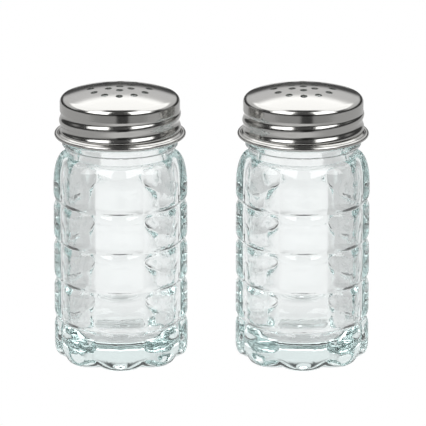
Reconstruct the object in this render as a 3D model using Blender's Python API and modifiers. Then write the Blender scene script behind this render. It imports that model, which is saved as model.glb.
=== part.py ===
"""Salt and pepper shakers: two pressed-glass jars in a brick pattern, each with a perforated steel screw cap.

Metres, +Z up. The origin lies on the table, midway between the two jars.
"""

import math

import bmesh
import bpy
from mathutils import Vector

# Jar body
COLUMNS = 8
ROWS = 5
BODY_R = 0.0238
PANEL_R = 0.0125
JAR_GAP = 0.0172
FIRST_GROOVE_Z = 0.0142
ROW_PITCH = 0.0144
GROOVE_DEPTH = 0.0014
GROOVE_BLEND = 0.0031
HEEL_Z = 0.0046
HEEL_IN = 0.0020
FOOT_SCALLOP = 0.17
FOOT_BAND = 0.0088
PUNT_DEPTH = 0.0010

# Jar shoulder, neck and mouth
TOP_ROW_STRAIGHT = 0.0041
SHOULDER_RISE = 0.0132
SHOULDER_POWER = 2.4
NECK_R = 0.0192
NECK_BELOW_COLLAR = 0.0028
COLLAR_OUT = 0.0014
COLLAR_TALL = 0.0026
COLLAR_ROUND = 0.0006
FINISH_TALL = 0.0147
LIP_ROUND = 0.0008

# Jar inside
BODY_WALL = 0.0062
NECK_WALL = 0.0026
FLOOR_THICK = 0.0085
FLOOR_ROUND = 0.0050
INNER_SHOULDER_RISE = 0.0092

# Thread, one start, right-handed
THREAD_PITCH = 0.0048
THREAD_TURNS = 1.4
THREAD_FROM_COLLAR = 0.0029
THREAD_RIDGE_R = 0.0009
THREAD_OUT = 0.0009
THREAD_CLEARANCE = 0.0004

# Cap
CAP_SHEET = 0.0005
CAP_EDGE_R = 0.0024
DOME_BALL_R = 0.0610
BAND_TALL = 0.0026
WAVE_DEPTH = 0.0003
WAVE_FADE = 0.0010
BEAD_OUT = 0.0012
BEAD_WIRE_R = 0.0008
BEAD_FROM_COLLAR = 0.0015
LIP_CLEARANCE = 0.0006

# Shaker holes
HOLE_R = 0.00128
HOLE_RINGS = ((0.0, 1), (0.0046, 6), (0.01036, 12))
CUTTER_DEPTH = 0.004

# Facets
JAR_SEGMENTS = 48
CAP_SEGMENTS = 36
THREAD_SIDES_PER_TURN = 24
HOLE_SIDES = 10

# Sizes that follow from the ones above
SPACING = 2 * BODY_R + JAR_GAP
FOOT_R = BODY_R - HEEL_IN
PUNT_R = FOOT_R - FOOT_BAND
WALL_R = BODY_R - BODY_WALL
BORE_R = NECK_R - NECK_WALL
COLLAR_R = NECK_R + COLLAR_OUT
THREAD_CREST_R = NECK_R + THREAD_OUT
CAP_R = THREAD_CREST_R + THREAD_CLEARANCE + WAVE_DEPTH + CAP_SHEET
BEAD_R = CAP_R + BEAD_OUT
SHOULDER_START_Z = FIRST_GROOVE_Z + ROW_PITCH * (ROWS - 2) + TOP_ROW_STRAIGHT
SHOULDER_TOP_Z = SHOULDER_START_Z + SHOULDER_RISE
COLLAR_Z = SHOULDER_TOP_Z + NECK_BELOW_COLLAR
COLLAR_TOP_Z = COLLAR_Z + COLLAR_TALL
THREAD_START_Z = COLLAR_TOP_Z + THREAD_FROM_COLLAR
LIP_Z = COLLAR_TOP_Z + FINISH_TALL
LIP_EDGE_R = NECK_R - LIP_ROUND
BEAD_Z = COLLAR_TOP_Z + BEAD_FROM_COLLAR

FRONT = math.radians(-90)


def clear_scene():
    """Remove every object, mesh, curve and material."""
    for obj in list(bpy.data.objects):
        bpy.data.objects.remove(obj, do_unlink=True)
    for block in (bpy.data.meshes, bpy.data.curves, bpy.data.materials):
        for item in list(block):
            block.remove(item)


def make_collection(name):
    """Return a new collection linked to the scene."""
    found = bpy.data.collections.new(name)
    bpy.context.scene.collection.children.link(found)
    return found


def make_material(name, color, roughness, metallic, transmission=0.0):
    """Return a Principled material."""
    material = bpy.data.materials.new(name)
    material.use_nodes = True
    shader = material.node_tree.nodes["Principled BSDF"]
    shader.inputs["Base Color"].default_value = (*color, 1.0)
    shader.inputs["Roughness"].default_value = roughness
    shader.inputs["Metallic"].default_value = metallic
    shader.inputs["Transmission Weight"].default_value = transmission
    return material


def turned(name, profile, segments, collection):
    """Turn a profile of (radius, height) points about Z and return the finished mesh object.

    The profile starts and ends on the axis, and runs so that the faces point outward.
    """
    mesh = bpy.data.meshes.new(name)
    points = [(r, 0.0, z) for r, z in profile]
    edges = [(i, i + 1) for i in range(len(points) - 1)]
    mesh.from_pydata(points, edges, [])
    guide = bpy.data.objects.new(name + "_section", mesh)
    collection.objects.link(guide)
    screw = guide.modifiers.new("Turn", "SCREW")
    screw.axis = "Z"
    screw.steps = segments
    screw.render_steps = segments
    screw.use_merge_vertices = True
    screw.merge_threshold = 0.00001
    screw.use_smooth_shade = False
    made = as_mesh(guide, name)
    bpy.data.objects.remove(guide, do_unlink=True)
    collection.objects.link(made)
    return made


def as_mesh(source, name):
    """Return an unlinked object holding the evaluated mesh of another, with its doubles merged."""
    graph = bpy.context.evaluated_depsgraph_get()
    mesh = bpy.data.meshes.new_from_object(source.evaluated_get(graph))
    work = bmesh.new()
    work.from_mesh(mesh)
    bmesh.ops.remove_doubles(work, verts=work.verts, dist=0.000002)
    bmesh.ops.recalc_face_normals(work, faces=work.faces)
    work.to_mesh(mesh)
    work.free()
    made = bpy.data.objects.new(name, mesh)
    made.matrix_world = source.matrix_world
    return made


def groove_heights():
    """Heights of the level grooves between the rows of bricks, bottom to top."""
    return [FIRST_GROOVE_Z + ROW_PITCH * i for i in range(ROWS - 1)]


def shoulder_radius(z):
    """Radius of the lobe crests above the top row, from the full body in to the neck."""
    t = (z - SHOULDER_START_Z) / SHOULDER_RISE
    t = min(max(t, 0.0), 1.0)
    return NECK_R + (BODY_R - NECK_R) * (1 - t**SHOULDER_POWER) ** (1 / SHOULDER_POWER)


def foot_radius(z):
    """Radius of the lobe crests in the heel, from the foot out to the body."""
    t = min(z / HEEL_Z, 1.0)
    return FOOT_R + (BODY_R - FOOT_R) * math.sqrt(1 - (1 - t) ** 2)


def body_profile():
    """Outer (radius, height) points from the foot up to the top of the shoulder."""
    heights = [HEEL_Z * t for t in (0.0, 0.15, 0.45, 1.0)]
    for z in groove_heights():
        steps = (-GROOVE_BLEND, -0.3 * GROOVE_BLEND, 0.0, 0.3 * GROOVE_BLEND, GROOVE_BLEND)
        heights += [z + step for step in steps]
    heights += [SHOULDER_START_Z + SHOULDER_RISE * t for t in (0.0, 0.35, 0.62, 0.80, 0.92, 0.985, 1.0)]
    return [(min(foot_radius(z), shoulder_radius(z)), z) for z in heights]


def jar_profile():
    """The whole section of the jar: punt, foot, outside, lip, bore, floor."""
    points = [(0.0, PUNT_DEPTH), (0.8 * PUNT_R, PUNT_DEPTH), (PUNT_R, 0.0)]
    points += body_profile()
    points += [(NECK_R, COLLAR_Z), (COLLAR_R, COLLAR_Z + COLLAR_ROUND)]
    points += [(COLLAR_R, COLLAR_TOP_Z - COLLAR_ROUND), (NECK_R, COLLAR_TOP_Z)]
    points += [(NECK_R, LIP_Z - LIP_ROUND), (LIP_EDGE_R, LIP_Z)]
    points += [(BORE_R + LIP_ROUND, LIP_Z), (BORE_R, LIP_Z - LIP_ROUND)]
    points += [(BORE_R, SHOULDER_TOP_Z), (WALL_R, SHOULDER_TOP_Z - INNER_SHOULDER_RISE)]
    for step in range(4):
        turn = math.radians(90) * step / 3
        r = WALL_R - FLOOR_ROUND * (1 - math.cos(turn))
        z = FLOOR_THICK + FLOOR_ROUND * (1 - math.sin(turn))
        points.append((r, z))
    points.append((0.0, FLOOR_THICK))
    return points


def panel_ratio(angle):
    """Radius of the round panels at an angle, as a share of the crest radius."""
    step = 2 * math.pi / COLUMNS
    off = (angle - FRONT + step / 2) % step - step / 2
    offset = BODY_R - PANEL_R
    return (offset * math.cos(off) + math.sqrt(PANEL_R**2 - (offset * math.sin(off)) ** 2)) / BODY_R


def groove_cut(z):
    """Depth of the level grooves at a height: a sharp notch between two rounded bricks."""
    near = min(abs(z - groove) for groove in groove_heights())
    t = min(near / GROOVE_BLEND, 1.0)
    return GROOVE_DEPTH * (1 - math.sqrt(1 - (1 - t) ** 2))


def press_bricks(jar):
    """Press the turned blank's outer skin to the brick pattern."""
    valley = 1 - panel_ratio(FRONT + math.pi / COLUMNS)
    for vertex in jar.data.vertices:
        x, y, z = vertex.co
        r = math.hypot(x, y)
        if r < WALL_R + 0.0008 or z > SHOULDER_TOP_Z + 0.0001:
            continue
        angle = math.atan2(y, x)
        share = (1 - panel_ratio(angle)) / valley
        foot = max(1 - z / HEEL_Z, 0.0) ** 2
        depth = valley + (FOOT_SCALLOP - valley) * foot
        crest = min(max((r - NECK_R) / (BODY_R - NECK_R), 0.0), 1.0)
        if z > SHOULDER_START_Z:
            depth *= math.sqrt(crest)
        pressed = r * (1 - depth * share) - groove_cut(z)
        vertex.co = Vector((x * pressed / r, y * pressed / r, z))


def thread_ridge(name, collection):
    """A round ridge that winds up the neck and fades out at both ends."""
    count = int(THREAD_SIDES_PER_TURN * THREAD_TURNS)
    curve = bpy.data.curves.new(name, "CURVE")
    curve.dimensions = "3D"
    curve.bevel_depth = THREAD_RIDGE_R
    curve.bevel_resolution = 1
    curve.use_fill_caps = True
    spline = curve.splines.new("POLY")
    spline.points.add(count)
    for i, point in enumerate(spline.points):
        turn = 2 * math.pi * i / THREAD_SIDES_PER_TURN
        angle = FRONT + turn
        fade = min(1.0, 0.35 + 0.22 * min(i, count - i))
        r = THREAD_CREST_R - THREAD_RIDGE_R * fade
        z = THREAD_START_Z + THREAD_PITCH * turn / (2 * math.pi)
        point.co = (r * math.cos(angle), r * math.sin(angle), z, 1.0)
        point.radius = fade
    guide = bpy.data.objects.new(name + "_path", curve)
    collection.objects.link(guide)
    made = as_mesh(guide, name)
    bpy.data.objects.remove(guide, do_unlink=True)
    collection.objects.link(made)
    return made


def dome_tilt():
    """Tilt of the dome where its rounded edge begins."""
    return math.asin((CAP_R - CAP_EDGE_R) / (DOME_BALL_R - CAP_EDGE_R))


def dome_drop(r):
    """Depth of the cap's outside below its top at a radius: a shallow ball, then a rounded edge."""
    tilt = dome_tilt()
    if r <= DOME_BALL_R * math.sin(tilt):
        return DOME_BALL_R - math.sqrt(DOME_BALL_R**2 - r**2)
    edge = math.sqrt(max(CAP_EDGE_R**2 - (r - CAP_R + CAP_EDGE_R) ** 2, 0.0))
    return edge_centre_drop() - edge


def edge_centre_drop():
    """Depth of the rounded edge's centre below the cap's top."""
    return DOME_BALL_R - (DOME_BALL_R - CAP_EDGE_R) * math.cos(dome_tilt())


def cap_top_z():
    """Height of the cap's top when its inside sits just over the jar's lip."""
    return LIP_Z + LIP_CLEARANCE + CAP_SHEET + dome_drop(LIP_EDGE_R)


def edge_points(inset):
    """Points round the cap's edge from the dome to its upright wall, set in by a distance."""
    tilt = dome_tilt()
    centre_z = cap_top_z() - edge_centre_drop()
    points = []
    for step in range(4):
        turn = tilt + (math.pi / 2 - tilt) * step / 3
        reach = CAP_EDGE_R - inset
        r = CAP_R - CAP_EDGE_R + reach * math.sin(turn)
        points.append((r, centre_z + reach * math.cos(turn)))
    return points


def band_bottom_z():
    """Height where the plain band under the cap's edge ends and the rolled thread begins."""
    return cap_top_z() - edge_centre_drop() - BAND_TALL


def cap_profile():
    """The whole section of the cap: outside from the dome down to the bead, and back up inside."""
    top = cap_top_z()
    dome = [CAP_R * t for t in (0.0, 0.35, 0.68)]
    outer = [(r, top - dome_drop(r)) for r in dome] + edge_points(0.0)
    outer.append((CAP_R, band_bottom_z()))
    wave = []
    levels = 8
    fall = band_bottom_z() - BEAD_Z - BEAD_WIRE_R
    for i in range(1, levels):
        wave.append((CAP_R, band_bottom_z() - fall * i / levels))
    bead = []
    for degrees in (140, 90, 40, -10, -60, -110, -150):
        turn = math.radians(degrees)
        bead.append((BEAD_R + BEAD_WIRE_R * math.cos(turn), BEAD_Z + BEAD_WIRE_R * math.sin(turn)))
    inner = [(r - CAP_SHEET, z) for r, z in reversed(wave)]
    inner.append((CAP_R - CAP_SHEET, band_bottom_z()))
    inner += reversed(edge_points(CAP_SHEET))
    inner += [(r, top - dome_drop(r) - CAP_SHEET) for r in reversed(dome)]
    return outer + wave + bead + inner


def press_thread(cap):
    """Roll the helical thread into the cap's wall, the same on both faces of the sheet.

    The wall stands out over the jar's ridge and dips in between its turns.
    """
    top = band_bottom_z()
    bottom = BEAD_Z + BEAD_WIRE_R
    for vertex in cap.data.vertices:
        x, y, z = vertex.co
        r = math.hypot(x, y)
        if not bottom < z < top or abs(r - CAP_R) > 1.5 * CAP_SHEET:
            continue
        angle = math.atan2(y, x) - FRONT
        turns = (z - THREAD_START_Z) / THREAD_PITCH - angle / (2 * math.pi)
        fade = min(1.0, (top - z) / WAVE_FADE, (z - bottom) / WAVE_FADE)
        scale = (r + WAVE_DEPTH * fade * math.cos(2 * math.pi * turns)) / r
        vertex.co = Vector((x * scale, y * scale, z))


def hole_cutter(name, collection):
    """One mesh of upright pins, a pin for each shaker hole."""
    work = bmesh.new()
    for ring_r, count in HOLE_RINGS:
        for i in range(count):
            angle = FRONT + 2 * math.pi * i / count
            made = bmesh.ops.create_cone(
                work,
                cap_ends=True,
                segments=HOLE_SIDES,
                radius1=HOLE_R,
                radius2=HOLE_R,
                depth=CUTTER_DEPTH,
            )
            height = cap_top_z() - dome_drop(ring_r)
            place = Vector((ring_r * math.cos(angle), ring_r * math.sin(angle), height))
            bmesh.ops.translate(work, verts=made["verts"], vec=place)
    mesh = bpy.data.meshes.new(name)
    work.to_mesh(mesh)
    work.free()
    cutter = bpy.data.objects.new(name, mesh)
    collection.objects.link(cutter)
    return cutter


def add_boolean(obj, cutter, operation):
    """Add an exact Boolean and hide its cutter."""
    modifier = obj.modifiers.new(operation.title(), "BOOLEAN")
    modifier.operation = operation
    modifier.solver = "EXACT"
    modifier.object = cutter
    cutter.hide_render = True
    cutter.display_type = "WIRE"


def make_jar(name, x, parts, cutters, material):
    """One glass jar, standing on its foot."""
    jar = turned(name, jar_profile(), JAR_SEGMENTS, parts)
    press_bricks(jar)
    ridge = thread_ridge(name + "_thread_form", cutters)
    add_boolean(jar, ridge, "UNION")
    for obj in (jar, ridge):
        obj.location.x = x
    jar.data.materials.append(material)
    return jar


def make_cap(name, x, parts, cutters, material):
    """One steel cap, its origin on the jar's axis."""
    cap = turned(name, cap_profile(), CAP_SEGMENTS, parts)
    press_thread(cap)
    pins = hole_cutter(name + "_hole_form", cutters)
    add_boolean(cap, pins, "DIFFERENCE")
    for obj in (cap, pins):
        obj.location.x = x
    cap.data.materials.append(material)
    return cap


def finish_shading(obj):
    """Smooth the round faces and keep the corners crisp."""
    obj.data.shade_smooth()
    obj.data.set_sharp_from_angle(angle=math.radians(40))


def main():
    clear_scene()
    parts = make_collection("salt_and_pepper_shakers")
    cutters = make_collection("forms")
    for name, side in (("salt", -1), ("pepper", 1)):
        x = side * SPACING / 2
        glass = make_material(name + "_jar", (0.93, 0.96, 0.96), 0.02, 0.0, 1.0)
        steel = make_material(name + "_cap", (0.72, 0.71, 0.69), 0.16, 1.0)
        jar = make_jar(name + "_jar", x, parts, cutters, glass)
        cap = make_cap(name + "_cap", x, parts, cutters, steel)
        finish_shading(jar)
        finish_shading(cap)


main()
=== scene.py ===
"""Salt and pepper shakers in pressed glass with perforated steel screw caps."""

import math

import bmesh
import bpy
from bpy.props import (
    FloatProperty,
    FloatVectorProperty,
    IntProperty,
    PointerProperty,
)
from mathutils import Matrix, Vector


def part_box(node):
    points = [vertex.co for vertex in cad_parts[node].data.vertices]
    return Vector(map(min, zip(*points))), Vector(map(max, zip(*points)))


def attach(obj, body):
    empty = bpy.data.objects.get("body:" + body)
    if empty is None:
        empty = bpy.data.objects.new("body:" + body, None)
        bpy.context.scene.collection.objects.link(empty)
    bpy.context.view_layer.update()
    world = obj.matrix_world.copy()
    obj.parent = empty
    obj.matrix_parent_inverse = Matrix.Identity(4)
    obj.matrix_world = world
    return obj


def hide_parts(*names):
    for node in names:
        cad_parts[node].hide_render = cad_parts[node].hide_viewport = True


bl_info = {
    "name": "Brick-pattern salt and pepper shakers",
    "version": (1, 0, 0),
    "blender": (4, 5, 0),
    "location": "View3D > Sidebar > Shakers",
    "description": "Builds two pressed-glass shakers with domed steel caps on a studio table",
    "category": "Add Mesh",
}

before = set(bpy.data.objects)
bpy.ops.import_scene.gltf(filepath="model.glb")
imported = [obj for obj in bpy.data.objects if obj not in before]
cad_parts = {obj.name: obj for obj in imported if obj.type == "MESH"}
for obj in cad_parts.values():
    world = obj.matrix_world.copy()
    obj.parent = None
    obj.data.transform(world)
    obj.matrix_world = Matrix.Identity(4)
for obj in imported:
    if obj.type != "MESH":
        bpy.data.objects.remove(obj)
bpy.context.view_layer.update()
JAR_LOW, JAR_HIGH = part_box("pepper_jar")
CAP_LOW, CAP_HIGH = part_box("pepper_cap")
AXIS_X = (JAR_LOW[0] + JAR_HIGH[0]) / 2
SHAKERS = (("salt", -AXIS_X), ("pepper", AXIS_X))
FRONT = math.radians(-90)

# Sizes that jar and cap share
NECK_BELOW_COLLAR = 0.0028
COLLAR_TALL = 0.0026
THREAD_FROM_COLLAR = 0.0029
THREAD_PITCH = 0.0048
THREAD_TURNS = 1.4
THREAD_WIDTH = 0.0010
THREAD_OUT = 0.0009
INNER_SHOULDER_RISE = 0.0092
FOOT_BAND = 0.0088
FOOT_BLEND = 0.0080
PUNT_DEPTH = 0.0010
WAVE_FADE = 0.0010
SHOULDER_POWER = 2.4
SALT_SEAM, PEPPER_SEAM = -10, 38


# Settings


class ShakerJarSettings(bpy.types.PropertyGroup):
    """Sizes of one glass jar."""

    body_radius: FloatProperty(
        name="Body radius",
        description="Radius of the panel crests",
        default=(JAR_HIGH[0] - JAR_LOW[0]) / 2,
        unit="LENGTH",
    )
    panel_radius: FloatProperty(
        name="Panel radius",
        description="Radius of each rounded column of bricks",
        default=0.0128,
        unit="LENGTH",
    )
    columns: IntProperty(name="Columns", description="Columns of bricks", default=8)
    rows: IntProperty(name="Rows", description="Rows of bricks", default=5)
    first_groove: FloatProperty(
        name="First groove",
        description="Height of the lowest level groove",
        default=0.0142,
        unit="LENGTH",
    )
    row_pitch: FloatProperty(
        name="Row pitch",
        description="Height of one row of bricks",
        default=0.0144,
        unit="LENGTH",
    )
    groove_depth: FloatProperty(
        name="Groove depth",
        description="Depth of the level grooves",
        default=0.0018,
        unit="LENGTH",
    )
    groove_blend: FloatProperty(
        name="Groove blend",
        description="Height over which a brick's edge rounds over",
        default=0.0031,
        unit="LENGTH",
    )
    crossing: FloatProperty(
        name="Crossing",
        description="Share of a groove's depth that ends where it meets a valley",
        default=0.6,
        subtype="FACTOR",
    )
    valley_round: FloatProperty(
        name="Valley root",
        description="Softness at the root of each upright valley",
        default=0.0006,
        unit="LENGTH",
    )
    groove_round: FloatProperty(
        name="Groove root",
        description="Softness at the root of each groove",
        default=0.0004,
        unit="LENGTH",
    )
    heel_height: FloatProperty(
        name="Heel height", description="Height of the curved heel", default=0.0046, unit="LENGTH"
    )
    heel_in: FloatProperty(
        name="Heel set-in",
        description="How far the foot stands inside the body",
        default=0.0020,
        unit="LENGTH",
    )
    foot_scallop: FloatProperty(
        name="Foot scallop",
        description="Depth between the foot's lobes as a share of its radius",
        default=0.17,
        subtype="FACTOR",
    )
    shoulder_rise: FloatProperty(
        name="Shoulder rise", description="Height of the rounded shoulder", default=0.0132, unit="LENGTH"
    )
    top_straight: FloatProperty(
        name="Top row straight",
        description="Straight part of the top row over its groove",
        default=0.0041,
        unit="LENGTH",
    )
    neck_radius: FloatProperty(
        name="Neck radius", description="Radius of the neck", default=0.0192, unit="LENGTH"
    )
    collar_out: FloatProperty(
        name="Collar", description="How far the collar stands out", default=0.0014, unit="LENGTH"
    )
    body_wall: FloatProperty(
        name="Body wall",
        description="Glass from a crest to the smooth inside",
        default=0.0062,
        unit="LENGTH",
    )
    neck_wall: FloatProperty(
        name="Neck wall", description="Glass in the neck", default=0.0026, unit="LENGTH"
    )
    floor_thickness: FloatProperty(
        name="Floor", description="Glass under the inside floor", default=0.0085, unit="LENGTH"
    )
    floor_round: FloatProperty(
        name="Floor corner",
        description="Rounding between the inside floor and wall",
        default=0.0050,
        unit="LENGTH",
    )
    seam_out: FloatProperty(
        name="Mould seam", description="Height of the mould seam", default=0.00007, unit="LENGTH"
    )
    tint: FloatVectorProperty(
        name="Glass tint",
        description="Colour that the glass passes",
        default=(0.72, 0.90, 0.89),
        subtype="COLOR",
        size=3,
    )
    tint_density: FloatProperty(
        name="Tint density",
        description="How strongly thick glass takes the tint",
        default=12.0,
    )


class ShakerCapSettings(bpy.types.PropertyGroup):
    """Sizes of one steel cap."""

    wall_radius: FloatProperty(
        name="Wall radius", description="Radius of the upright wall", default=0.0213, unit="LENGTH"
    )
    dome_radius: FloatProperty(
        name="Dome radius", description="Ball radius of the domed top", default=0.0610, unit="LENGTH"
    )
    edge_radius: FloatProperty(
        name="Edge radius", description="Rounding between dome and wall", default=0.0024, unit="LENGTH"
    )
    sheet: FloatProperty(
        name="Sheet", description="Thickness of the steel", default=0.0005, unit="LENGTH"
    )
    band_height: FloatProperty(
        name="Band", description="Plain band under the edge", default=0.0026, unit="LENGTH"
    )
    thread_pitch: FloatProperty(
        name="Thread pitch", description="Rise of the thread in one turn", default=0.0048, unit="LENGTH"
    )
    thread_depth: FloatProperty(
        name="Thread depth", description="Half the depth of the rolled thread", default=0.0003, unit="LENGTH"
    )
    bead_radius: FloatProperty(
        name="Bead", description="Radius of the rolled bead", default=0.0008, unit="LENGTH"
    )
    bead_out: FloatProperty(
        name="Bead set-out",
        description="Bead's centre outside the wall",
        default=0.0012,
        unit="LENGTH",
    )
    hole_radius: FloatProperty(
        name="Hole radius", description="Radius of each hole", default=0.00128, unit="LENGTH"
    )
    inner_ring: FloatProperty(
        name="Inner ring", description="Radius of the ring of six holes", default=0.0046, unit="LENGTH"
    )
    outer_ring: FloatProperty(
        name="Outer ring", description="Radius of the ring of twelve holes", default=0.01036, unit="LENGTH"
    )
    steel: FloatVectorProperty(
        name="Steel",
        description="Colour of the polished sheet",
        default=(0.48, 0.475, 0.46),
        subtype="COLOR",
        size=3,
    )


class ShakerStageSettings(bpy.types.PropertyGroup):
    """Table, light and camera."""

    distance: FloatProperty(
        name="Camera distance", description="From the pair to the camera", default=1.60, unit="LENGTH"
    )
    elevation: FloatProperty(
        name="Camera elevation",
        description="Angle of the camera above level",
        default=math.radians(16.2),
        subtype="ANGLE",
    )
    lens: FloatProperty(name="Lens", description="Focal length in mm", default=379.8)
    aim_x: FloatProperty(name="Aim across", description="Aim point along X", default=0.0005, unit="LENGTH")
    aim_z: FloatProperty(name="Aim height", description="Aim point height", default=0.0521, unit="LENGTH")
    floor: FloatVectorProperty(
        name="Table",
        description="Colour of the table top",
        default=(0.36, 0.36, 0.36),
        subtype="COLOR",
        size=3,
    )
    # Painted light: the table glows as a painted pool of light, at the first level under each jar and
    # falling to the second level away from them.
    painted_pool_glow: FloatProperty(name="Table glow", description="Light that the table gives off", default=0.45)
    painted_edge_glow: FloatProperty(
        name="Table edge glow", description="Light given off away from the jars", default=0.10
    )
    room: FloatProperty(name="Room", description="Level of the room's walls and ceiling", default=0.10)
    horizon: FloatProperty(name="Horizon", description="Level round the horizon", default=0.06)
    below: FloatProperty(name="Below", description="Level below the table's edge", default=0.45)
    back_wall: FloatProperty(name="Back wall", description="Level of the lit back wall", default=0.80)
    overhead: FloatProperty(name="Overhead box", description="Level of the overhead soft box", default=1.90)
    left_box: FloatProperty(name="Left box", description="Level of the front left soft box", default=3.4)
    right_box: FloatProperty(name="Right box", description="Level of the front right soft box", default=3.4)


# Node helpers


def math_node(tree, operation, *values, clamp=False):
    """Add a Math node, feed it numbers or sockets, and return its output."""
    node = tree.nodes.new("ShaderNodeMath")
    node.operation = operation
    node.use_clamp = clamp
    for socket, value in zip(node.inputs, values):
        if isinstance(value, (int, float)):
            socket.default_value = value
        else:
            tree.links.new(value, socket)
    return node.outputs[0]


def add_inputs(tree, sizes):
    """Add named number inputs to a tree: {name: default}. Returns {name: identifier}."""
    tree.interface.new_socket("Geometry", in_out="INPUT", socket_type="NodeSocketGeometry")
    tree.interface.new_socket("Geometry", in_out="OUTPUT", socket_type="NodeSocketGeometry")
    found = {}
    for name, value in sizes.items():
        kind = "NodeSocketInt" if isinstance(value, int) else "NodeSocketFloat"
        item = tree.interface.new_socket(name, in_out="INPUT", socket_type=kind)
        item.default_value = value
        found[name] = item.identifier
    item = tree.interface.new_socket("Material", in_out="INPUT", socket_type="NodeSocketMaterial")
    found["Material"] = item.identifier
    return found


def finish_tree(tree, start, geometry):
    """Close a tree with smooth shading, Realize Instances and Set Material."""
    smooth = tree.nodes.new("GeometryNodeSetShadeSmooth")
    realize = tree.nodes.new("GeometryNodeRealizeInstances")
    paint = tree.nodes.new("GeometryNodeSetMaterial")
    out = tree.nodes.new("NodeGroupOutput")
    tree.links.new(geometry, smooth.inputs["Geometry"])
    tree.links.new(smooth.outputs[0], realize.inputs[0])
    tree.links.new(realize.outputs[0], paint.inputs["Geometry"])
    tree.links.new(start.outputs["Material"], paint.inputs["Material"])
    tree.links.new(paint.outputs[0], out.inputs[0])


def polar(tree):
    """Return sockets for the point's radius, its angle from the front, and its height."""
    position = tree.nodes.new("GeometryNodeInputPosition")
    parts = tree.nodes.new("ShaderNodeSeparateXYZ")
    tree.links.new(position.outputs[0], parts.inputs[0])
    x, y, z = parts.outputs
    square = math_node(tree, "ADD", math_node(tree, "MULTIPLY", x, x), math_node(tree, "MULTIPLY", y, y))
    radius = math_node(tree, "SQRT", square)
    angle = math_node(tree, "SUBTRACT", math_node(tree, "ARCTAN2", y, x), FRONT)
    return x, y, z, radius, angle


def move_out(tree, geometry, x, y, z, radius, new_radius, selection):
    """Move the chosen points to a new radius."""
    scale = math_node(tree, "DIVIDE", new_radius, math_node(tree, "MAXIMUM", radius, 0.0001))
    joined = tree.nodes.new("ShaderNodeCombineXYZ")
    tree.links.new(math_node(tree, "MULTIPLY", x, scale), joined.inputs[0])
    tree.links.new(math_node(tree, "MULTIPLY", y, scale), joined.inputs[1])
    tree.links.new(z, joined.inputs[2])
    place = tree.nodes.new("GeometryNodeSetPosition")
    tree.links.new(geometry, place.inputs["Geometry"])
    tree.links.new(selection, place.inputs["Selection"])
    tree.links.new(joined.outputs[0], place.inputs["Position"])
    return place.outputs[0]


def turned_blank(name, profile, segments):
    """A section of (radius, height) points with a Screw modifier that turns it about Z."""
    mesh = bpy.data.meshes.new(name)
    mesh.from_pydata([(r, 0.0, z) for r, z in profile], [(i, i + 1) for i in range(len(profile) - 1)], [])
    blank = bpy.data.objects.new(name, mesh)
    bpy.context.scene.collection.objects.link(blank)
    screw = blank.modifiers.new("Turn", "SCREW")
    screw.steps = segments
    screw.render_steps = segments
    screw.use_merge_vertices = True
    screw.merge_threshold = 0.000001
    screw.use_smooth_shade = True
    return blank


def add_tree(blank, tree, inputs, values):
    """Put a node tree on a blank and set its inputs by identifier."""
    modifier = blank.modifiers.new(tree.name, "NODES")
    modifier.node_group = tree
    for name, value in values.items():
        modifier[inputs[name]] = value
    blank.update_tag()


def plain_piece(blank, name, shift_x, material, crisp):
    """Turn a blank with modifiers into a plain mesh piece standing at shift_x."""
    graph = bpy.context.evaluated_depsgraph_get()
    mesh = bpy.data.meshes.new_from_object(blank.evaluated_get(graph))
    mesh.name = name
    tidy = bmesh.new()
    tidy.from_mesh(mesh)
    bmesh.ops.translate(tidy, verts=tidy.verts, vec=(shift_x, 0.0, 0.0))
    bmesh.ops.remove_doubles(tidy, verts=tidy.verts, dist=0.000001)
    bmesh.ops.recalc_face_normals(tidy, faces=tidy.faces)
    if tidy.calc_volume(signed=True) < 0:
        bmesh.ops.reverse_faces(tidy, faces=tidy.faces)
    tidy.to_mesh(mesh)
    tidy.free()
    mesh.materials.clear()
    mesh.materials.append(material)
    mesh.shade_smooth()
    mesh.set_sharp_from_angle(angle=math.radians(crisp))
    piece = bpy.data.objects.new(name, mesh)
    bpy.context.scene.collection.objects.link(piece)
    return piece


def drop(blank):
    """Remove a blank once its pieces are made."""
    bpy.data.objects.remove(blank, do_unlink=True)


def steps(start, stop, count):
    """Evenly spaced values from start to stop, both included."""
    return [start + (stop - start) * i / count for i in range(count + 1)]


def arc(centre_r, centre_z, radius, start, stop, count):
    """Points on an arc, with angles in degrees from the outward level."""
    turns = [math.radians(value) for value in steps(start, stop, count)]
    return [(centre_r + radius * math.cos(turn), centre_z + radius * math.sin(turn)) for turn in turns]


# Jar


def jar_heights(jar):
    """Levels of the outer skin, close together at the grooves."""
    levels = set()
    top = shoulder_top(jar)
    fine = 0.0
    grooves = [jar.first_groove + jar.row_pitch * i for i in range(jar.rows - 1)]
    while fine < top:
        near = min(abs(fine - groove) for groove in grooves)
        levels.add(round(fine, 6))
        fine += 0.00012 if near < 0.0007 else 0.00030 if near < 0.0034 else 0.0006
    levels.add(round(top, 6))
    return sorted(levels)


def shoulder_start(jar):
    """Height where the top row begins to round in."""
    return jar.first_groove + jar.row_pitch * (jar.rows - 2) + jar.top_straight


def shoulder_top(jar):
    """Height where the shoulder meets the neck."""
    return shoulder_start(jar) + jar.shoulder_rise


def skin_radius(jar, z):
    """Crest radius of the outer skin at a height."""
    t = min(max((z - shoulder_start(jar)) / jar.shoulder_rise, 0.0), 1.0)
    bend = (1 - t**SHOULDER_POWER) ** (1 / SHOULDER_POWER)
    upper = jar.neck_radius + (jar.body_radius - jar.neck_radius) * bend
    t = min(z / jar.heel_height, 1.0)
    lower = jar.body_radius - jar.heel_in + jar.heel_in * math.sqrt(1 - (1 - t) ** 2)
    return min(upper, lower)


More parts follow.
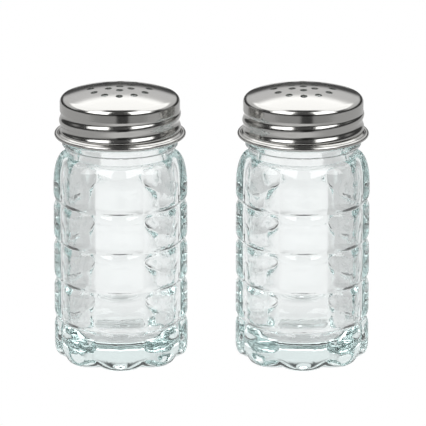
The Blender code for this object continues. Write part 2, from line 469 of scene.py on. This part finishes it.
def jar_section(jar):
    """The whole section of the jar, from the middle of its base to the middle of its floor."""
    neck, lip = jar.neck_radius, JAR_HIGH[2]
    collar_z = shoulder_top(jar) + NECK_BELOW_COLLAR
    collar_top = collar_z + COLLAR_TALL
    foot = jar.body_radius - jar.heel_in
    punt = foot - FOOT_BAND
    points = [(r, PUNT_DEPTH) for r in steps(0.0, 0.8 * punt, 6)]
    for r in steps(0.84 * punt, punt, 6):
        fall = (r - 0.8 * punt) / (0.2 * punt) * math.pi / 2
        points.append((r, PUNT_DEPTH * math.cos(fall)))
    points += [(r, 0.0) for r in steps(punt + 0.0006, foot - 0.0006, 8)]
    points += [(skin_radius(jar, z), z) for z in jar_heights(jar)]
    points += [(neck, z) for z in steps(shoulder_top(jar) + 0.0006, collar_z - 0.0004, 4)]
    points += arc(neck + jar.collar_out - 0.0007, collar_z + 0.0007, 0.0007, -90, 0, 5)
    points += arc(neck + jar.collar_out - 0.0007, collar_top - 0.0007, 0.0007, 0, 90, 5)
    points += [(neck, z) for z in steps(collar_top, lip - 0.0012, 90)]
    points += arc(neck - 0.0010, lip - 0.0010, 0.0010, 0, 90, 6)
    bore = neck - jar.neck_wall
    points += arc(bore + 0.0010, lip - 0.0010, 0.0010, 90, 180, 6)
    inside = jar.body_radius - jar.body_wall
    points += [(bore, z) for z in steps(lip - 0.0016, shoulder_top(jar), 20)]
    top, low = shoulder_top(jar), shoulder_top(jar) - INNER_SHOULDER_RISE
    for t in steps(0.0, 1.0, 14)[1:]:
        points.append((bore + (inside - bore) * (3 * t * t - 2 * t**3), top + (low - top) * t))
    floor, bend = jar.floor_thickness, jar.floor_round
    points += [(inside, z) for z in steps(low - 0.0015, floor + bend + 0.0008, 30)]
    points += arc(inside - bend, floor + bend, bend, 0, -90, 16)
    points += [(r, floor) for r in steps(inside - bend - 0.0010, 0.0, 10)]
    return points


def brick_tree(sizes):
    """Node tree that presses a turned blank to the brick pattern and winds a thread round its neck."""
    tree = bpy.data.node_groups.new("brick_mould", "GeometryNodeTree")
    inputs = add_inputs(tree, sizes)
    start = tree.nodes.new("NodeGroupInput")
    size = {name: start.outputs[name] for name in sizes}
    x, y, z, radius, angle = polar(tree)

    def m(operation, *values, clamp=False):
        return math_node(tree, operation, *values, clamp=clamp)

    step = m("DIVIDE", 2 * math.pi, size["Columns"])
    half = m("MULTIPLY", step, 0.5)
    off = m("ABSOLUTE", m("WRAP", angle, half, m("MULTIPLY", half, -1.0)))
    to_valley = m("SUBTRACT", half, off)
    soft = m("SQRT", m("ADD", m("POWER", to_valley, 2.0), m("POWER", size["Valley root"], 2.0)))
    off = m("SUBTRACT", half, soft)
    centre = m("SUBTRACT", size["Body radius"], size["Panel radius"])

    def panel(turn):
        across = m("MULTIPLY", centre, m("SINE", turn))
        reach = m("SQRT", m("SUBTRACT", m("POWER", size["Panel radius"], 2.0), m("POWER", across, 2.0)))
        return m("DIVIDE", m("ADD", m("MULTIPLY", centre, m("COSINE", turn)), reach), size["Body radius"])

    valley = m("SUBTRACT", 1.0, panel(half))
    share = m("DIVIDE", m("SUBTRACT", 1.0, panel(off)), valley)
    foot = m("POWER", m("SUBTRACT", 1.0, m("DIVIDE", z, size["Heel height"]), clamp=True), 2.0)
    depth = m("ADD", valley, m("MULTIPLY", m("SUBTRACT", size["Foot scallop"], valley), foot))
    neck_to_body = m("SUBTRACT", size["Body radius"], size["Neck radius"])
    crest = m("DIVIDE", m("SUBTRACT", radius, size["Neck radius"]), neck_to_body, clamp=True)
    above = m("GREATER_THAN", z, size["Shoulder start"])
    fade = m("ADD", m("MULTIPLY", above, m("SQRT", crest)), m("SUBTRACT", 1.0, above))
    depth = m("MULTIPLY", depth, fade)

    row = m("ROUND", m("DIVIDE", m("SUBTRACT", z, size["First groove"]), size["Row pitch"]))
    row = m("MINIMUM", m("MAXIMUM", row, 0.0), m("SUBTRACT", size["Rows"], 2.0))
    groove = m("ADD", size["First groove"], m("MULTIPLY", row, size["Row pitch"]))
    near = m("SUBTRACT", z, groove)
    near = m("SQRT", m("ADD", m("POWER", near, 2.0), m("POWER", size["Groove root"], 2.0)))
    t = m("MINIMUM", m("DIVIDE", near, size["Groove blend"]), 1.0)
    rest = m("POWER", m("SUBTRACT", 1.0, t), 2.0)
    curve = m("SUBTRACT", 1.0, m("SQRT", m("SUBTRACT", 1.0, rest, clamp=True)))
    cut = m("MULTIPLY", size["Groove depth"], curve)
    cut = m("MULTIPLY", cut, m("SUBTRACT", 1.0, m("MULTIPLY", size["Crossing"], share)))

    seam_off = m("ABSOLUTE", m("WRAP", m("SUBTRACT", angle, size["Seam angle"]), math.pi / 2, -math.pi / 2))
    seam = m("SUBTRACT", 1.0, m("DIVIDE", seam_off, 0.009), clamp=True)
    seam = m("MULTIPLY", size["Seam"], m("MULTIPLY", seam, seam))
    under = m("LESS_THAN", z, 0.00002)
    inner = m("SUBTRACT", size["Foot radius"], size["Foot blend"])
    reach = m("DIVIDE", m("SUBTRACT", radius, inner), size["Foot blend"], clamp=True)
    reach = m("ADD", m("MULTIPLY", under, reach), m("SUBTRACT", 1.0, under))
    pressed = m("MULTIPLY", radius, m("SUBTRACT", 1.0, m("MULTIPLY", m("MULTIPLY", depth, share), reach)))
    seam = m("MULTIPLY", seam, m("GREATER_THAN", size["Seam top"], z))
    pressed = m("ADD", m("SUBTRACT", pressed, cut), seam)
    skin = m("GREATER_THAN", radius, size["Skin radius"])
    foot_ring = m("MULTIPLY", under, m("GREATER_THAN", radius, inner))
    chosen = m("MULTIPLY", m("MAXIMUM", skin, foot_ring), m("LESS_THAN", z, size["Seam top"]))
    body = move_out(tree, start.outputs["Geometry"], x, y, z, radius, pressed, chosen)

    turn = m("DIVIDE", m("WRAP", angle, 2 * math.pi, 0.0), 2 * math.pi)
    lead = m("SUBTRACT", m("DIVIDE", m("SUBTRACT", z, size["Thread start"]), size["Thread pitch"]), turn)
    lap = m("ROUND", lead)
    along = m("ADD", lap, turn)
    fade_in = m("DIVIDE", m("ADD", along, 0.06), 0.12, clamp=True)
    fade_out = m("DIVIDE", m("SUBTRACT", m("ADD", size["Thread turns"], 0.06), along), 0.12, clamp=True)
    side = m("MULTIPLY", m("SUBTRACT", lead, lap), m("DIVIDE", size["Thread pitch"], size["Thread width"]))
    ridge = m("SQRT", m("SUBTRACT", 1.0, m("POWER", m("ABSOLUTE", side), 2.0), clamp=True))
    ridge = m("MULTIPLY", m("MULTIPLY", ridge, m("MULTIPLY", fade_in, fade_out)), size["Thread out"])
    outside = m("GREATER_THAN", radius, m("SUBTRACT", size["Neck radius"], 0.00002))
    on_neck = m("MULTIPLY", outside, m("GREATER_THAN", z, size["Thread low"]))
    neck = move_out(tree, body, x, y, z, radius, m("ADD", radius, ridge), on_neck)
    finish_tree(tree, start, neck)
    return tree, inputs


def glass_material(jar):
    """Clear pressed glass: a faint cool tint and the slight waviness of a mould's surface."""
    material = bpy.data.materials.new("pressed_glass")
    material.use_nodes = True
    nodes, links = material.node_tree.nodes, material.node_tree.links
    shader = nodes["Principled BSDF"]
    shader.inputs["Metallic"].default_value = 0.0
    shader.inputs["IOR"].default_value = 1.51
    shader.inputs["Transmission Weight"].default_value = 1.0
    place = nodes.new("ShaderNodeTexCoord")
    wave = nodes.new("ShaderNodeTexNoise")
    wave.inputs["Scale"].default_value = 210.0
    wave.inputs["Detail"].default_value = 2.0
    links.new(place.outputs["Object"], wave.inputs["Vector"])
    bump = nodes.new("ShaderNodeBump")
    bump.inputs["Strength"].default_value = 0.10
    bump.inputs["Distance"].default_value = 0.0008
    links.new(wave.outputs["Fac"], bump.inputs["Height"])
    links.new(bump.outputs["Normal"], shader.inputs["Normal"])
    cloud = nodes.new("ShaderNodeTexNoise")
    cloud.inputs["Scale"].default_value = 60.0
    links.new(place.outputs["Object"], cloud.inputs["Vector"])
    rough = nodes.new("ShaderNodeMapRange")
    rough.inputs["To Min"].default_value = 0.0
    rough.inputs["To Max"].default_value = 0.004
    links.new(cloud.outputs["Fac"], rough.inputs["Value"])
    links.new(rough.outputs["Result"], shader.inputs["Roughness"])
    shader.inputs["Base Color"].default_value = (0.995, 0.998, 0.998, 1.0)
    depth = nodes.new("ShaderNodeVolumeAbsorption")
    depth.inputs["Color"].default_value = (*jar.tint, 1.0)
    depth.inputs["Density"].default_value = jar.tint_density
    links.new(depth.outputs[0], nodes["Material Output"].inputs["Volume"])
    return material


class SHAKERS_OT_jars(bpy.types.Operator):
    """Build the two glass jars"""

    bl_idname = "shakers.jars"
    bl_label = "Glass jars"

    def execute(self, context):
        jar = context.scene.shaker_jar
        material = glass_material(jar)
        collar_top = shoulder_top(jar) + NECK_BELOW_COLLAR + COLLAR_TALL
        sizes = {
            "Columns": jar.columns,
            "Rows": jar.rows,
            "Body radius": jar.body_radius,
            "Panel radius": jar.panel_radius,
            "Valley root": jar.valley_round / jar.body_radius,
            "First groove": jar.first_groove,
            "Row pitch": jar.row_pitch,
            "Groove depth": jar.groove_depth,
            "Groove blend": jar.groove_blend,
            "Groove root": jar.groove_round,
            "Crossing": jar.crossing,
            "Heel height": jar.heel_height,
            "Foot scallop": jar.foot_scallop,
            "Foot radius": jar.body_radius - jar.heel_in,
            "Foot blend": FOOT_BLEND,
            "Shoulder start": shoulder_start(jar),
            "Neck radius": jar.neck_radius,
            "Skin radius": jar.body_radius - jar.body_wall + 0.0008,
            "Seam": jar.seam_out,
            "Seam angle": 0.0,
            "Seam top": shoulder_top(jar) + 0.00005,
            "Thread start": collar_top + THREAD_FROM_COLLAR,
            "Thread pitch": THREAD_PITCH,
            "Thread turns": THREAD_TURNS,
            "Thread width": THREAD_WIDTH,
            "Thread out": THREAD_OUT,
            "Thread low": collar_top + 0.0002,
        }
        tree, inputs = brick_tree(sizes)
        for (name, shift), seam in zip(SHAKERS, (SALT_SEAM, PEPPER_SEAM)):
            blank = turned_blank(name + "_jar_blank", jar_section(jar), 192)
            values = dict(sizes)
            values["Seam angle"] = math.radians(seam)
            values["Material"] = material
            add_tree(blank, tree, inputs, values)
            piece = plain_piece(blank, name + "_jar_glass", shift, material, 50)
            drop(blank)
            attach(piece, name + "_shaker")
            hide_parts(name + "_jar")
        return {"FINISHED"}


# Cap


def cap_section(cap):
    """The whole section of the cap's sheet: outside, bead, then back up the inside."""
    top, low = CAP_HIGH[2] + 0.00001, CAP_LOW[2]
    wall, sheet, edge, ball = cap.wall_radius, cap.sheet, cap.edge_radius, cap.dome_radius
    tilt = math.asin((wall - edge) / (ball - edge))
    edge_z = top - ball + (ball - edge) * math.cos(tilt)
    tilt_up = 90 - math.degrees(tilt)

    def dome(ball_r, count):
        return [(ball_r * math.sin(a), top - ball + ball_r * math.cos(a)) for a in steps(0.0, tilt, count)]

    bead, bead_r, bead_z = cap.bead_radius, wall + cap.bead_out, low + cap.bead_radius
    band = edge_z - cap.band_height
    points = dome(ball, 42)
    points += arc(wall - edge, edge_z, edge, tilt_up, 0, 14)[1:]
    points += [(wall, z) for z in steps(edge_z - 0.0003, band, 8)]
    foot = bead_z + bead
    points += [(wall, z) for z in steps(band, foot + 0.0002, 56)[1:]]
    points += arc(bead_r, bead_z, bead, 140, -150, 22)
    points += [(wall - sheet, z) for z in steps(foot + 0.0002, band, 40)]
    points += [(wall - sheet, z) for z in steps(band, edge_z, 6)[1:]]
    points += arc(wall - edge, edge_z, edge - sheet, 0, tilt_up, 8)[1:]
    points += list(reversed(dome(ball - sheet, 30)))[1:]
    return points, band, foot


def cap_tree(cap, sizes):
    """Node tree that rolls the thread into a turned cap and punches its rings of holes."""
    tree = bpy.data.node_groups.new("cap_press", "GeometryNodeTree")
    inputs = add_inputs(tree, sizes)
    start = tree.nodes.new("NodeGroupInput")
    size = {name: start.outputs[name] for name in sizes}
    x, y, z, radius, angle = polar(tree)

    def m(operation, *values, clamp=False):
        return math_node(tree, operation, *values, clamp=clamp)

    climb = m("DIVIDE", m("SUBTRACT", z, size["Thread start"]), size["Thread pitch"])
    lead = m("SUBTRACT", climb, m("DIVIDE", angle, 2 * math.pi))
    high = m("DIVIDE", m("SUBTRACT", size["Band bottom"], z), size["Fade"], clamp=True)
    low = m("DIVIDE", m("SUBTRACT", z, size["Bead top"]), size["Fade"], clamp=True)
    wave = m("COSINE", m("MULTIPLY", lead, 2 * math.pi))
    shift = m("MULTIPLY", m("MULTIPLY", wave, size["Thread depth"]), m("MULTIPLY", high, low))
    near_wall = m("LESS_THAN", m("ABSOLUTE", m("SUBTRACT", radius, size["Wall radius"])), size["Reach"])
    body = move_out(tree, start.outputs["Geometry"], x, y, z, radius, m("ADD", radius, shift), near_wall)

    pins = tree.nodes.new("GeometryNodeJoinGeometry")
    pin = tree.nodes.new("GeometryNodeMeshCylinder")
    pin.inputs["Vertices"].default_value = 28
    pin.inputs["Depth"].default_value = 0.008
    tree.links.new(size["Hole radius"], pin.inputs["Radius"])
    for count, ring in ((1, None), (6, "Inner ring"), (12, "Outer ring")):
        if ring is None:
            tree.links.new(pin.outputs["Mesh"], pins.inputs[0])
            continue
        circle = tree.nodes.new("GeometryNodeMeshCircle")
        circle.inputs["Vertices"].default_value = count
        tree.links.new(size[ring], circle.inputs["Radius"])
        put = tree.nodes.new("GeometryNodeInstanceOnPoints")
        tree.links.new(circle.outputs[0], put.inputs["Points"])
        tree.links.new(pin.outputs["Mesh"], put.inputs["Instance"])
        tree.links.new(put.outputs[0], pins.inputs[0])
    lift = tree.nodes.new("GeometryNodeTransform")
    height = tree.nodes.new("ShaderNodeCombineXYZ")
    tree.links.new(size["Top"], height.inputs[2])
    tree.links.new(height.outputs[0], lift.inputs["Translation"])
    lift.inputs["Rotation"].default_value = (0.0, 0.0, FRONT)
    tree.links.new(pins.outputs[0], lift.inputs["Geometry"])
    whole = tree.nodes.new("GeometryNodeRealizeInstances")
    tree.links.new(lift.outputs[0], whole.inputs[0])
    punch = tree.nodes.new("GeometryNodeMeshBoolean")
    punch.operation = "DIFFERENCE"
    punch.solver = "EXACT"
    tree.links.new(body, punch.inputs["Mesh 1"])
    tree.links.new(whole.outputs[0], punch.inputs["Mesh 2"])
    finish_tree(tree, start, punch.outputs["Mesh"])
    return tree, inputs


def steel_material(cap):
    """Polished stainless sheet: faint spinning lines round the axis and a soft cloud."""
    material = bpy.data.materials.new("polished_steel")
    material.use_nodes = True
    nodes, links = material.node_tree.nodes, material.node_tree.links
    tree = material.node_tree
    shader = nodes["Principled BSDF"]
    shader.inputs["Metallic"].default_value = 1.0
    place = nodes.new("ShaderNodeTexCoord")
    parts = nodes.new("ShaderNodeSeparateXYZ")
    links.new(place.outputs["Object"], parts.inputs[0])
    x, y, z = parts.outputs
    x = math_node(tree, "SUBTRACT", math_node(tree, "ABSOLUTE", x), AXIS_X)
    square = math_node(tree, "ADD", math_node(tree, "MULTIPLY", x, x), math_node(tree, "MULTIPLY", y, y))
    radius = math_node(tree, "SQRT", square)
    turn = math_node(tree, "ARCTAN2", y, x)
    ring = nodes.new("ShaderNodeCombineXYZ")
    links.new(math_node(tree, "MULTIPLY", radius, 5200.0), ring.inputs[0])
    links.new(math_node(tree, "MULTIPLY", turn, 1.2), ring.inputs[1])
    links.new(math_node(tree, "MULTIPLY", z, 5200.0), ring.inputs[2])
    lines = nodes.new("ShaderNodeTexNoise")
    lines.inputs["Scale"].default_value = 1.0
    lines.inputs["Detail"].default_value = 3.0
    links.new(ring.outputs[0], lines.inputs["Vector"])
    cloud = nodes.new("ShaderNodeTexNoise")
    cloud.inputs["Scale"].default_value = 90.0
    cloud.inputs["Detail"].default_value = 4.0
    links.new(place.outputs["Object"], cloud.inputs["Vector"])
    rough = nodes.new("ShaderNodeMapRange")
    rough.inputs["To Min"].default_value = 0.10
    rough.inputs["To Max"].default_value = 0.20
    links.new(cloud.outputs["Fac"], rough.inputs["Value"])
    grain = nodes.new("ShaderNodeMapRange")
    grain.inputs["To Min"].default_value = -0.03
    grain.inputs["To Max"].default_value = 0.03
    links.new(lines.outputs["Fac"], grain.inputs["Value"])
    roughness = math_node(tree, "ADD", rough.outputs["Result"], grain.outputs["Result"])
    links.new(roughness, shader.inputs["Roughness"])
    tone = nodes.new("ShaderNodeMix")
    tone.data_type = "RGBA"
    tone.inputs["A"].default_value = (*cap.steel, 1.0)
    tone.inputs["B"].default_value = (*(value * 0.93 for value in cap.steel), 1.0)
    links.new(lines.outputs["Fac"], tone.inputs["Factor"])
    links.new(tone.outputs["Result"], shader.inputs["Base Color"])
    bump = nodes.new("ShaderNodeBump")
    bump.inputs["Strength"].default_value = 0.04
    bump.inputs["Distance"].default_value = 0.0001
    links.new(lines.outputs["Fac"], bump.inputs["Height"])
    links.new(bump.outputs["Normal"], shader.inputs["Normal"])
    return material


class SHAKERS_OT_caps(bpy.types.Operator):
    """Build the two steel caps with their threads and holes"""

    bl_idname = "shakers.caps"
    bl_label = "Steel caps"

    def execute(self, context):
        cap, jar = context.scene.shaker_cap, context.scene.shaker_jar
        material = steel_material(cap)
        section, band, foot = cap_section(cap)
        sizes = {
            "Wall radius": cap.wall_radius,
            "Reach": 1.5 * cap.sheet,
            "Thread start": shoulder_top(jar) + NECK_BELOW_COLLAR + COLLAR_TALL + THREAD_FROM_COLLAR,
            "Thread pitch": cap.thread_pitch,
            "Thread depth": cap.thread_depth,
            "Band bottom": band,
            "Bead top": foot,
            "Fade": WAVE_FADE,
            "Hole radius": cap.hole_radius,
            "Inner ring": cap.inner_ring,
            "Outer ring": cap.outer_ring,
            "Top": CAP_HIGH[2],
        }
        tree, inputs = cap_tree(cap, sizes)
        blank = turned_blank("cap_blank", section, 144)
        values = dict(sizes)
        values["Material"] = material
        add_tree(blank, tree, inputs, values)
        for name, shift in SHAKERS:
            piece = plain_piece(blank, name + "_cap_steel", shift, material, 40)
            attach(piece, name + "_top")
            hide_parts(name + "_cap")
        drop(blank)
        return {"FINISHED"}


# Stage


def window(tree, value, middle, half, soft):
    """1 within half of the middle, falling to 0 over a soft edge."""
    node = tree.nodes.new("ShaderNodeMapRange")
    node.interpolation_type = "SMOOTHSTEP"
    node.inputs["From Min"].default_value = half + soft
    node.inputs["From Max"].default_value = half
    away = math_node(tree, "ABSOLUTE", math_node(tree, "SUBTRACT", value, middle))
    tree.links.new(away, node.inputs["Value"])
    return node.outputs["Result"]


def studio_world(stage):
    """A studio seen by direction: soft boxes over a grey room, with a dark stand in front."""
    world = bpy.data.worlds.new("studio")
    bpy.context.scene.world = world
    world.use_nodes = True
    tree = world.node_tree
    nodes, links = tree.nodes, tree.links
    place = nodes.new("ShaderNodeTexCoord")
    parts = nodes.new("ShaderNodeSeparateXYZ")
    links.new(place.outputs["Generated"], parts.inputs[0])
    x, y, z = parts.outputs
    rise = math_node(tree, "DEGREES", math_node(tree, "ARCSINE", z))
    turn = math_node(tree, "DEGREES", math_node(tree, "ARCTAN2", x, math_node(tree, "MULTIPLY", y, -1.0)))
    from_back = math_node(tree, "SUBTRACT", 180.0, math_node(tree, "ABSOLUTE", turn))

    room = nodes.new("ShaderNodeValToRGB")
    room.color_ramp.interpolation = "EASE"
    low = ((-90, stage.below), (-6, stage.below), (-1, stage.horizon))
    stops = low + ((12, stage.horizon), (26, stage.room), (90, stage.room))
    while len(room.color_ramp.elements) < len(stops):
        room.color_ramp.elements.new(0.5)
    for element, (angle, level) in zip(room.color_ramp.elements, stops):
        element.position = (angle + 90) / 180
        element.color = (level, level, level, 1.0)
    links.new(math_node(tree, "DIVIDE", math_node(tree, "ADD", rise, 90.0), 180.0), room.inputs[0])
    total = room.outputs["Color"]

    boxes = (
        (from_back, 0.0, 75.0, 25.0, 25.0, 9.0, 6.0, stage.back_wall),
        (from_back, 0.0, 95.0, 25.0, 54.0, 16.0, 7.0, stage.overhead),
        (turn, -45.0, 20.0, 4.0, 40.0, 20.0, 3.0, stage.left_box),
        (turn, 45.0, 20.0, 4.0, 40.0, 20.0, 3.0, stage.right_box),
    )
    for around, middle, half, soft, height, tall, edge, level in boxes:
        across, upward = window(tree, around, middle, half, soft), window(tree, rise, height, tall, edge)
        shape = math_node(tree, "MULTIPLY", across, upward)
        total = math_node(tree, "ADD", total, math_node(tree, "MULTIPLY", shape, level))
    across, upward = window(tree, turn, 6.0, 9.0, 5.0), window(tree, rise, -22.0, 36.0, 8.0)
    stand = math_node(tree, "MULTIPLY", across, upward)
    shade = math_node(tree, "SUBTRACT", 1.0, math_node(tree, "MULTIPLY", stand, 0.85))
    total = math_node(tree, "MULTIPLY", total, shade)
    links.new(total, nodes["Background"].inputs["Color"])
    plain = nodes.new("ShaderNodeBackground")
    plain.inputs["Color"].default_value = (1.0, 1.0, 1.0, 1.0)
    path = nodes.new("ShaderNodeLightPath")
    pick = nodes.new("ShaderNodeMixShader")
    links.new(path.outputs["Is Camera Ray"], pick.inputs[0])
    links.new(nodes["Background"].outputs[0], pick.inputs[1])
    links.new(plain.outputs[0], pick.inputs[2])
    links.new(pick.outputs[0], nodes["World Output"].inputs["Surface"])
    return world


def table_top(stage):
    """A plain, pale table top: white to the camera; to the glass and steel it is lit by the studio and glows
    with a painted pool of light, brightest under each jar.
    """
    mesh = bpy.data.meshes.new("table_top")
    half, front, back, low = 0.9, -0.22, 1.6, -0.0002
    corners = [(-half, front, low), (half, front, low), (half, back, low), (-half, back, low)]
    mesh.from_pydata(corners, [], [(0, 1, 2, 3)])
    table = bpy.data.objects.new("table_top", mesh)
    bpy.context.scene.collection.objects.link(table)
    material = bpy.data.materials.new("pale_table_painted_glow")
    material.use_nodes = True
    nodes, links = material.node_tree.nodes, material.node_tree.links
    shader = nodes["Principled BSDF"]
    shader.inputs["Base Color"].default_value = (*stage.floor, 1.0)
    shader.inputs["Roughness"].default_value = 0.9
    shader.inputs["Specular IOR Level"].default_value = 0.0
    shader.inputs["Emission Color"].default_value = (1.0, 1.0, 1.0, 1.0)
    place = nodes.new("ShaderNodeTexCoord")
    parts = nodes.new("ShaderNodeSeparateXYZ")
    links.new(place.outputs["Object"], parts.inputs[0])
    across = math_node(material.node_tree, "ABSOLUTE", parts.outputs[0])
    # Painted pool of light: the table's glow is brightest near each jar's axis and fades away from it.
    painted_light_pool = window(material.node_tree, across, AXIS_X, 0.010, 0.070)
    glow = math_node(material.node_tree, "MULTIPLY", painted_light_pool, stage.painted_pool_glow - stage.painted_edge_glow)
    glow = math_node(material.node_tree, "ADD", glow, stage.painted_edge_glow)
    links.new(glow, shader.inputs["Emission Strength"])
    plain = nodes.new("ShaderNodeEmission")
    path = nodes.new("ShaderNodeLightPath")
    pick = nodes.new("ShaderNodeMixShader")
    links.new(path.outputs["Is Camera Ray"], pick.inputs[0])
    links.new(shader.outputs[0], pick.inputs[1])
    links.new(plain.outputs[0], pick.inputs[2])
    links.new(pick.outputs[0], nodes["Material Output"].inputs["Surface"])
    mesh.materials.append(material)
    return table


class SHAKERS_OT_stage(bpy.types.Operator):
    """Set the table, the studio light and the camera"""

    bl_idname = "shakers.stage"
    bl_label = "Stage"

    def execute(self, context):
        stage = context.scene.shaker_stage
        studio_world(stage)
        table_top(stage)
        data = bpy.data.cameras.new("camera")
        data.lens = stage.lens
        data.sensor_width = 36.0
        data.clip_end = 20.0
        camera = bpy.data.objects.new("camera", data)
        context.scene.collection.objects.link(camera)
        back = stage.distance * math.cos(stage.elevation)
        rise = stage.distance * math.sin(stage.elevation)
        camera.location = (stage.aim_x, -back, stage.aim_z + rise)
        camera.rotation_euler = (math.pi / 2 - stage.elevation, 0.0, 0.0)
        context.scene.camera = camera
        context.scene.view_settings.view_transform = "Standard"
        context.scene.cycles.max_bounces = 24
        context.scene.cycles.transmission_bounces = 24
        context.scene.cycles.glossy_bounces = 12
        return {"FINISHED"}


class SHAKERS_PT_panel(bpy.types.Panel):
    """Shaker pieces and their sizes"""

    bl_idname = "SHAKERS_PT_panel"
    bl_label = "Salt and pepper shakers"
    bl_space_type = "VIEW_3D"
    bl_region_type = "UI"
    bl_category = "Shakers"

    def draw(self, context):
        groups = (
            (context.scene.shaker_jar, "shakers.jars"),
            (context.scene.shaker_cap, "shakers.caps"),
            (context.scene.shaker_stage, "shakers.stage"),
        )
        for group, operator in groups:
            box = self.layout.box()
            for name in group.bl_rna.properties.keys():
                if name not in ("rna_type", "name"):
                    box.prop(group, name)
            box.operator(operator)


CLASSES = (
    ShakerJarSettings,
    ShakerCapSettings,
    ShakerStageSettings,
    SHAKERS_OT_jars,
    SHAKERS_OT_caps,
    SHAKERS_OT_stage,
    SHAKERS_PT_panel,
)


def register():
    """Register the classes and hang their settings on the scene."""
    for item in CLASSES:
        bpy.utils.register_class(item)
    bpy.types.Scene.shaker_jar = PointerProperty(type=ShakerJarSettings)
    bpy.types.Scene.shaker_cap = PointerProperty(type=ShakerCapSettings)
    bpy.types.Scene.shaker_stage = PointerProperty(type=ShakerStageSettings)


def unregister():
    """Take the settings and classes away again."""
    del bpy.types.Scene.shaker_stage
    del bpy.types.Scene.shaker_cap
    del bpy.types.Scene.shaker_jar
    for item in reversed(CLASSES):
        bpy.utils.unregister_class(item)


def main():
    """Build the shakers and the stage."""
    register()
    bpy.ops.shakers.stage()
    bpy.ops.shakers.jars()
    bpy.ops.shakers.caps()


if __name__ == "__main__":
    main()
